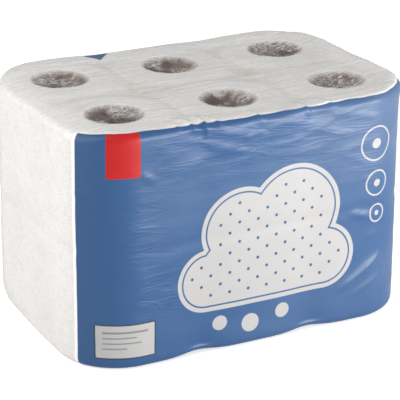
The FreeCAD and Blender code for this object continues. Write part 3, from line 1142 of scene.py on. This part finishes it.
class ROLLPACK_OT_cores(bpy.types.Operator):
    """Add the cardboard core of every roll"""

    bl_idname = "roll_pack.add_cores"
    bl_label = "Add Cardboard Cores"

    def execute(self, context):
        paper = context.scene.roll_pack_paper
        material = card_material(paper)
        for number, node in enumerate(CORE_NODES):
            core = core_object(node, material, paper.card_wall, CORE_SEED + number)
            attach(core, "root")
            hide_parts(node)
        return {"FINISHED"}


class ROLLPACK_OT_film(bpy.types.Operator):
    """Add the clear and printed film round the rolls"""

    bl_idname = "roll_pack.add_film"
    bl_label = "Add Film Wrap"

    def execute(self, context):
        settings = context.scene.roll_pack_film
        sheet = FilmSheet(settings)
        uv = sheet.face_coordinates()
        material = film_material(context.scene.roll_pack_print)
        shape, masks = film_shape(sheet, settings)
        film = make_object("film_wrap", shape, sheet.faces, material, "around", uv)
        for name, mask in masks.items():
            layer = film.data.attributes.new(name, "FLOAT", "POINT")
            layer.data.foreach_set("value", mask.astype(np.float32))
        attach(film, "root")
        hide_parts(FILM_NODE)
        return {"FINISHED"}


# The lamps: name, place, size and power, in metres and watts.
LAMPS = (
    ("left_window", (-1.18, 0.05, 0.80), (1.5, 1.5), 16.5),
    ("right_window", (0.50, -0.84, 0.21), (0.8, 0.36), 12.5),
    ("overhead", (0.2, 0.6, 1.9), (2.0, 1.6), 0.5),
)

# Light of the surroundings, and how the floor is kept as white as they are.
WORLD_LIGHT = 0.62
FLOOR_WHITE = 0.82
FLOOR_GLOW = 0.47
FLOOR_HALF = 6.0
FLOOR_DROP = 0.2 * MM

# How far right of the pack's middle the camera looks, and the width of its sensor in millimetres.
TARGET_RIGHT = 2.05 * MM
SENSOR_WIDTH = 36.0


def add_lamp(name, place, size, power):
    """A soft rectangular white lamp that faces the pack."""
    data = bpy.data.lights.new(name, "AREA")
    data.shape = "RECTANGLE"
    data.size, data.size_y = size
    data.energy = power
    lamp = bpy.data.objects.new(name, data)
    lamp.location = place
    aim = Vector((0.0, 0.0, HEIGHT / 2)) - Vector(place)
    lamp.rotation_euler = aim.to_track_quat("-Z", "Y").to_euler()
    bpy.context.scene.collection.objects.link(lamp)


def white_world():
    """Soft white surroundings: plain white where the camera sees them, straight or through clear film."""
    world = bpy.data.worlds.new("studio")
    bpy.context.scene.world = world
    world.use_nodes = True
    graph = Graph(world.node_tree)
    world.node_tree.nodes.clear()
    path = graph.node("ShaderNodeLightPath").outputs
    seen = graph.math("MAXIMUM", path["Is Camera Ray"], path["Is Transmission Ray"])
    background = graph.node("ShaderNodeBackground")
    background.inputs["Color"].default_value = (1.0, 1.0, 1.0, 1.0)
    graph.feed(background.inputs["Strength"], graph.blend(seen, WORLD_LIGHT, 1.0))
    output = graph.node("ShaderNodeOutputWorld")
    graph.feed(output.inputs["Surface"], background.outputs[0])


def floor_material():
    """A pale floor that looks as white as the surroundings and keeps the pack's shadow."""
    material = bpy.data.materials.new("pale_floor")
    material.use_nodes = True
    material.node_tree.nodes.clear()
    graph = Graph(material.node_tree)
    matt = graph.node("ShaderNodeBsdfDiffuse")
    matt.inputs["Color"].default_value = rgba([FLOOR_WHITE] * 3)
    glow = graph.node("ShaderNodeEmission")
    path = graph.node("ShaderNodeLightPath").outputs
    graph.feed(glow.inputs["Strength"], graph.times(path["Is Camera Ray"], FLOOR_GLOW))
    both = graph.node("ShaderNodeAddShader")
    graph.feed(both.inputs[0], matt.outputs[0])
    graph.feed(both.inputs[1], glow.outputs[0])
    output = graph.node("ShaderNodeOutputMaterial")
    graph.feed(output.inputs["Surface"], both.outputs[0])
    return material


def add_floor():
    half = FLOOR_HALF
    mesh = bpy.data.meshes.new("floor")
    corners = [(-half, -half, 0.0), (half, -half, 0.0), (half, half, 0.0), (-half, half, 0.0)]
    mesh.from_pydata(corners, [], [(0, 1, 2, 3)])
    mesh.materials.append(floor_material())
    floor = bpy.data.objects.new("floor", mesh)
    floor.location.z = -FLOOR_DROP
    bpy.context.scene.collection.objects.link(floor)


def add_camera(settings):
    azimuth, elevation = settings.azimuth, settings.elevation
    back = Vector((
        math.sin(azimuth) * math.cos(elevation),
        -math.cos(azimuth) * math.cos(elevation),
        math.sin(elevation),
    ))
    data = bpy.data.cameras.new("photo_camera")
    data.sensor_width = SENSOR_WIDTH
    data.lens = settings.lens
    camera = bpy.data.objects.new("photo_camera", data)
    target = Vector((TARGET_RIGHT, 0.0, settings.target_height))
    turn = (-back).to_track_quat("-Z", "Y").to_matrix() @ Matrix.Rotation(settings.roll, 3, "Z")
    camera.matrix_world = Matrix.Translation(target + back * settings.distance) @ turn.to_4x4()
    bpy.context.scene.collection.objects.link(camera)
    bpy.context.scene.camera = camera


class ROLLPACK_OT_stage(bpy.types.Operator):
    """Add the floor, the lamps and the camera"""

    bl_idname = "roll_pack.add_stage"
    bl_label = "Add Stage"

    def execute(self, context):
        context.scene.view_settings.view_transform = "Standard"
        white_world()
        add_floor()
        for lamp in LAMPS:
            add_lamp(*lamp)
        add_camera(context.scene.roll_pack_stage)
        return {"FINISHED"}


class ROLLPACK_PT_sidebar(bpy.types.Panel):
    """Lists the pieces of the pack and the stage"""

    bl_idname = "ROLLPACK_PT_sidebar"
    bl_label = "Roll Pack"
    bl_space_type = "VIEW_3D"
    bl_region_type = "UI"
    bl_category = "Roll Pack"

    def draw(self, context):
        for operator in OPERATORS:
            self.layout.operator(operator.bl_idname)
        for name in SETTINGS:
            box = self.layout.box()
            group = getattr(context.scene, name)
            for title in group.bl_rna.properties.keys():
                if title not in ("rna_type", "name"):
                    box.prop(group, title)


SETTINGS = {
    "roll_pack_print": PrintSettings,
    "roll_pack_film": FilmSettings,
    "roll_pack_paper": PaperSettings,
    "roll_pack_stage": StageSettings,
}
OPERATORS = (ROLLPACK_OT_rolls, ROLLPACK_OT_cores, ROLLPACK_OT_film, ROLLPACK_OT_stage)
CLASSES = (*SETTINGS.values(), *OPERATORS, ROLLPACK_PT_sidebar)


def register():
    for item in CLASSES:
        bpy.utils.register_class(item)
    for name, group in SETTINGS.items():
        setattr(bpy.types.Scene, name, PointerProperty(type=group))


def unregister():
    for name in SETTINGS:
        delattr(bpy.types.Scene, name)
    for item in reversed(CLASSES):
        bpy.utils.unregister_class(item)


def main():
    register()
    bpy.ops.roll_pack.add_rolls()
    bpy.ops.roll_pack.add_cores()
    bpy.ops.roll_pack.add_film()
    bpy.ops.roll_pack.add_stage()


if __name__ == "__main__":
    main()
